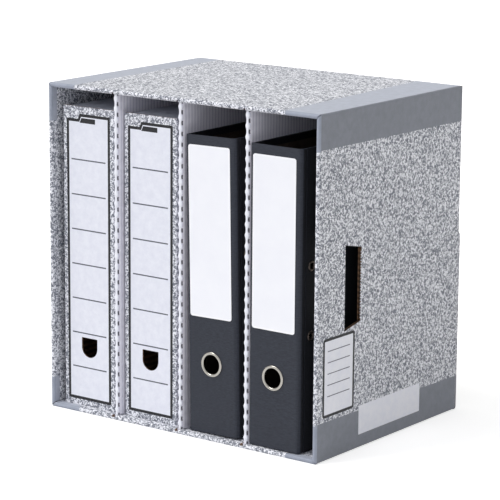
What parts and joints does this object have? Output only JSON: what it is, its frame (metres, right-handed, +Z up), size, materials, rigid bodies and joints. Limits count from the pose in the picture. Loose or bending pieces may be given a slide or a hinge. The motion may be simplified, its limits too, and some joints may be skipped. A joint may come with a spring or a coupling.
{
  "type": "box file store",
  "caption": "Corrugated cardboard file store, open at the front, with dividers making bays for two closed transfer files and two lever arch files.",
  "frame": {"origin": "on the underside, at the middle of the overall width and depth", "axes": "+Z up, +Y from the open front to the closed back, +X to the right seen from the front"},
  "size_m": [0.392, 0.2946, 0.395],
  "materials": {
    "corrugated_board": "printed matt",
    "divider_board": "matt",
    "carton_board": "printed satin",
    "cover_board": "paper-covered, matt",
    "lining_paper": "matt",
    "label_paper": "matt",
    "nickel": "nickel-plated",
    "guard_steel": "satin",
    "black_plastic": "satin",
    "white_plastic": "satin"
  },
  "bodies": {
    "root": {"case": "corrugated_board", "divider_1": "divider_board", "divider_2": "divider_board", "divider_3": "divider_board", "transfer_file_1_carton": "carton_board", "transfer_file_1_clip_base": "white_plastic", "transfer_file_1_clip_bar": "white_plastic", "transfer_file_2_carton": "carton_board", "transfer_file_2_clip_base": "white_plastic", "transfer_file_2_clip_bar": "white_plastic", "arch_file_1_cover": "cover_board", "arch_file_1_lining": "lining_paper", "arch_file_1_label": "label_paper", "arch_file_1_thumb_ring": "nickel", "arch_file_1_eyelet_low": "nickel", "arch_file_1_eyelet_high": "nickel", "arch_file_1_base_plate": "nickel", "arch_file_1_post_low": "nickel", "arch_file_1_post_high": "nickel", "arch_file_1_arches": "nickel", "arch_file_1_lever": "nickel", "arch_file_1_lever_pin": "nickel", "arch_file_1_roller": "black_plastic", "arch_file_1_compressor": "black_plastic", "arch_file_1_guard_left": "guard_steel", "arch_file_1_guard_right": "guard_steel", "arch_file_2_cover": "cover_board", "arch_file_2_lining": "lining_paper", "arch_file_2_label": "label_paper", "arch_file_2_thumb_ring": "nickel", "arch_file_2_eyelet_low": "nickel", "arch_file_2_eyelet_high": "nickel", "arch_file_2_base_plate": "nickel", "arch_file_2_post_low": "nickel", "arch_file_2_post_high": "nickel", "arch_file_2_arches": "nickel", "arch_file_2_lever": "nickel", "arch_file_2_lever_pin": "nickel", "arch_file_2_roller": "black_plastic", "arch_file_2_compressor": "black_plastic", "arch_file_2_guard_left": "guard_steel", "arch_file_2_guard_right": "guard_steel"}
  },
  "joints": []
}
